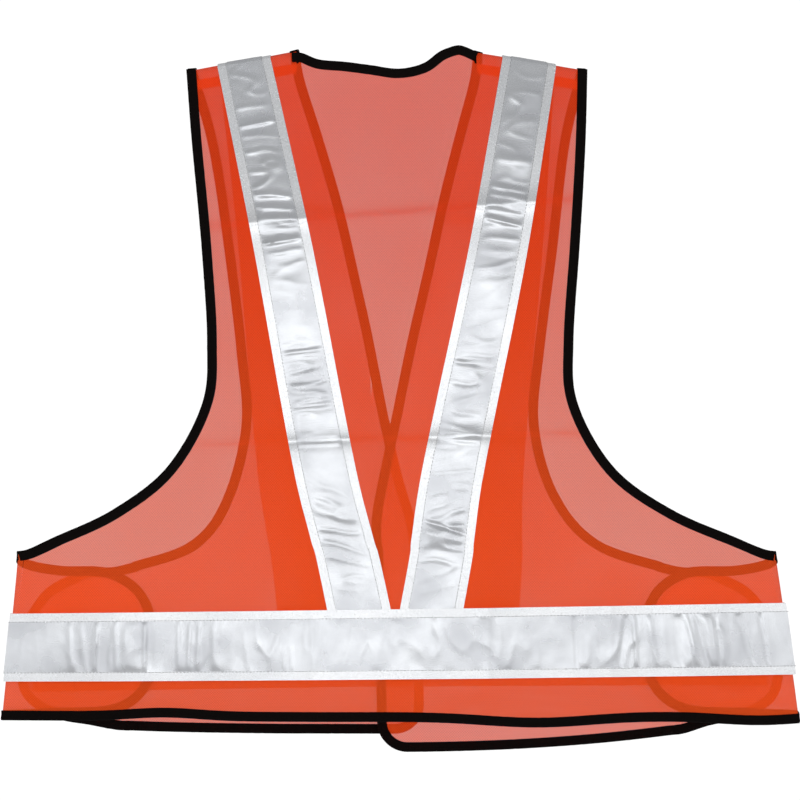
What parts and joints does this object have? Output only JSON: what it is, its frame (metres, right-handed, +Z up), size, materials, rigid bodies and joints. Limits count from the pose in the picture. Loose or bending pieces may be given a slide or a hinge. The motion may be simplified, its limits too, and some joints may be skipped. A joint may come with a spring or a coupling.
{
  "type": "high visibility vest",
  "caption": "Sleeveless see-through orange safety vest with silver V and waist tapes, black bound edges, a lapped front and open side tabs.",
  "frame": {"origin": "on the shoulder fold, midway between the two shoulders", "axes": "+Z up along the vest, +X to the wearer's right, -Y out of the back of the vest"},
  "size_m": [0.6823, 0.0824, 0.604],
  "materials": {
    "orange_mesh": "fine knitted mesh, see-through",
    "black_binding": "woven binding tape",
    "white_tape": "woven white backing",
    "silver_film": "crumpled glossy silver film",
    "hook_and_loop": "hook and loop pile"
  },
  "bodies": {
    "back": {"back_panel": "orange_mesh", "binding_back_neck": "black_binding", "binding_back_armhole_left": "black_binding", "binding_back_armhole_right": "black_binding", "binding_back_hem": "black_binding", "tape_back_v_left": "white_tape", "silver_back_v_left": "silver_film", "tape_back_v_right": "white_tape", "silver_back_v_right": "silver_film", "tape_back_waist": "white_tape", "silver_back_waist": "silver_film"},
    "wing_left": {"wing_left": "orange_mesh", "binding_wing_left": "black_binding", "tape_wing_left": "white_tape", "silver_wing_left": "silver_film", "loop_side_left": "hook_and_loop"},
    "wing_right": {"wing_right": "orange_mesh", "binding_wing_right": "black_binding", "tape_wing_right": "white_tape", "silver_wing_right": "silver_film", "loop_side_right": "hook_and_loop"},
    "front_left": {"front_panel_left": "orange_mesh", "binding_front_armhole_left": "black_binding", "binding_front_neck_left": "black_binding", "binding_front_hem_left": "black_binding", "tape_front_left": "white_tape", "silver_front_left": "silver_film", "tape_front_waist_left": "white_tape", "silver_front_waist_left": "silver_film"},
    "front_right": {"front_panel_right": "orange_mesh", "binding_front_armhole_right": "black_binding", "binding_front_edge_right": "black_binding", "binding_front_hem_right": "black_binding", "tape_front_right": "white_tape", "silver_front_right": "silver_film", "tape_front_waist_right": "white_tape", "silver_front_waist_right": "silver_film", "loop_front": "hook_and_loop"},
    "tab_left": {"front_tab_left": "orange_mesh", "binding_tab_left": "black_binding", "tape_tab_left": "white_tape", "silver_tab_left": "silver_film", "hook_side_left": "hook_and_loop"},
    "tab_right": {"front_tab_right": "orange_mesh", "binding_tab_right": "black_binding", "tape_tab_right": "white_tape", "silver_tab_right": "silver_film", "hook_side_right": "hook_and_loop"},
    "front_flap": {"front_flap": "orange_mesh", "binding_flap": "black_binding", "tape_flap": "white_tape", "silver_flap": "silver_film", "hook_front": "hook_and_loop"}
  },
  "joints": [
    {"name": "front_left_lift", "type": "hinge", "parent": "back", "child": "front_left", "pos_m": [-0.08, 0, 0], "axis": [0.9851, 0, 0.172], "range_deg": [0, 170]},
    {"name": "front_right_lift", "type": "hinge", "parent": "back", "child": "front_right", "pos_m": [0.08, 0, 0], "axis": [0.9853, 0, -0.1707], "range_deg": [0, 170]},
    {"name": "wing_left_swing", "type": "hinge", "parent": "back", "child": "wing_left", "pos_m": [-0.32964, 0, -0.575], "axis": [0.0977, 0, 0.9952], "range_deg": [0, 165]},
    {"name": "wing_right_swing", "type": "hinge", "parent": "back", "child": "wing_right", "pos_m": [0.35436, 0, -0.575], "axis": [0.1398, 0, -0.9902], "range_deg": [0, 165]},
    {"name": "tab_left_peel", "type": "hinge", "parent": "front_left", "child": "tab_left", "pos_m": [-0.23052, 0.02931, -0.441], "axis": [0.0215, 0, -0.9998], "range_deg": [0, 110]},
    {"name": "tab_right_peel", "type": "hinge", "parent": "front_right", "child": "tab_right", "pos_m": [0.24948, 0.02931, -0.441], "axis": [-0.0215, 0, 0.9998], "range_deg": [0, 110]},
    {"name": "front_flap_peel", "type": "hinge", "parent": "front_left", "child": "front_flap", "pos_m": [-0.00079, 0.05311, -0.312], "axis": [0.046, 0, 0.9989], "range_deg": [0, 130]}
  ],
  "couplings": [
    {"joint": "front_right_lift", "follows": "front_left_lift", "ratio": 1},
    {"joint": "wing_left_swing", "follows": "front_left_lift", "ratio": 0.97059},
    {"joint": "wing_right_swing", "follows": "front_left_lift", "ratio": 0.97059}
  ]
}
